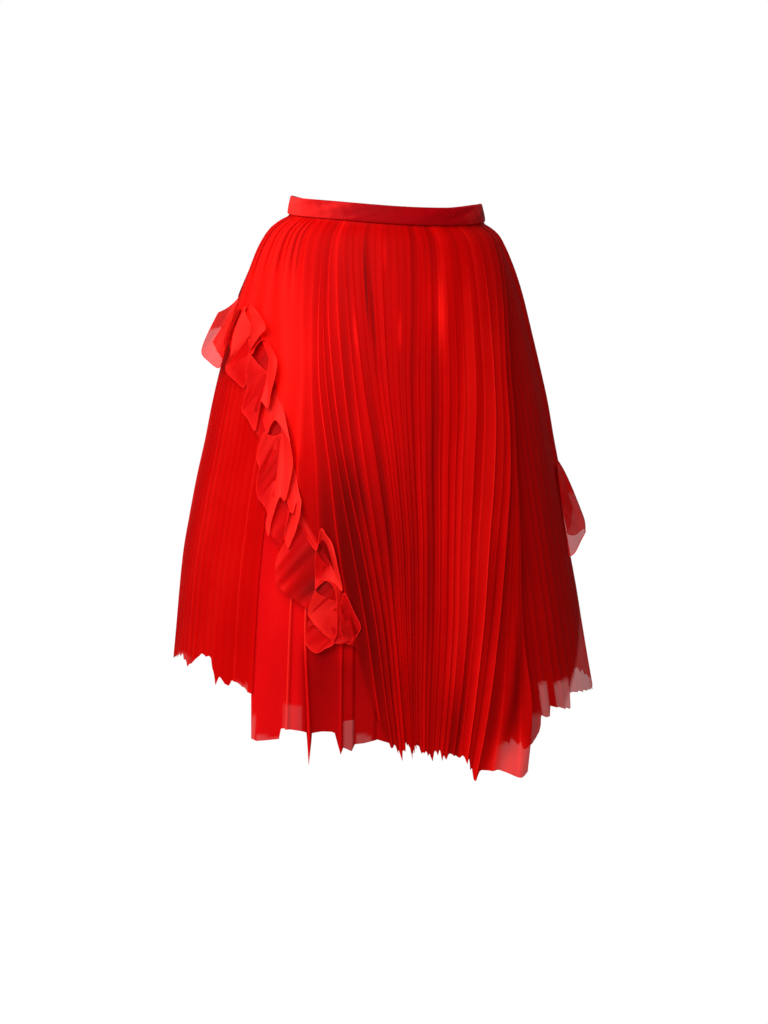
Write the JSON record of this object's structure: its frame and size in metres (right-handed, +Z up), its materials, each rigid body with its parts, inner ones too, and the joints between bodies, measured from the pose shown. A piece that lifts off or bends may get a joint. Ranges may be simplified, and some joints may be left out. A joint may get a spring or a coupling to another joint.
{
  "type": "wrap skirt",
  "caption": "Midi wrap skirt of sheer pleated cloth with a flat waistband, a slanted outer panel edged by a ruffle, and an uneven pointed hem, in its worn shape.",
  "frame": {"origin": "middle of the waist opening at half the height of the waistband", "axes": "+Z up along the wearer, the front of the skirt faces -Y, the wearer's left side is toward +X"},
  "size_m": [0.5647, 0.4196, 0.7196],
  "materials": {
    "satin_band": "soft satin sheen",
    "lining_cloth": "matt, opaque",
    "under_cloth": "sheer, finely pleated, matt",
    "underlap_cloth": "sheer, smooth, matt",
    "front_cloth": "sheer, finely pleated, light sheen",
    "overlay_cloth": "sheer, finely pleated, matt",
    "ruffle_cloth": "sheer, crisp, light sheen"
  },
  "bodies": {
    "root": {"waistband": "satin_band", "lining_front": "lining_cloth", "lining_back": "lining_cloth", "under_gore_right": "under_cloth", "under_gore_back_right": "under_cloth", "under_gore_back_left": "under_cloth", "under_gore_left": "under_cloth", "underlap_panel": "underlap_cloth", "front_wrap_panel": "front_cloth", "back_overlay_panel": "overlay_cloth", "front_ruffle": "ruffle_cloth", "back_ruffle": "ruffle_cloth"}
  },
  "joints": []
}
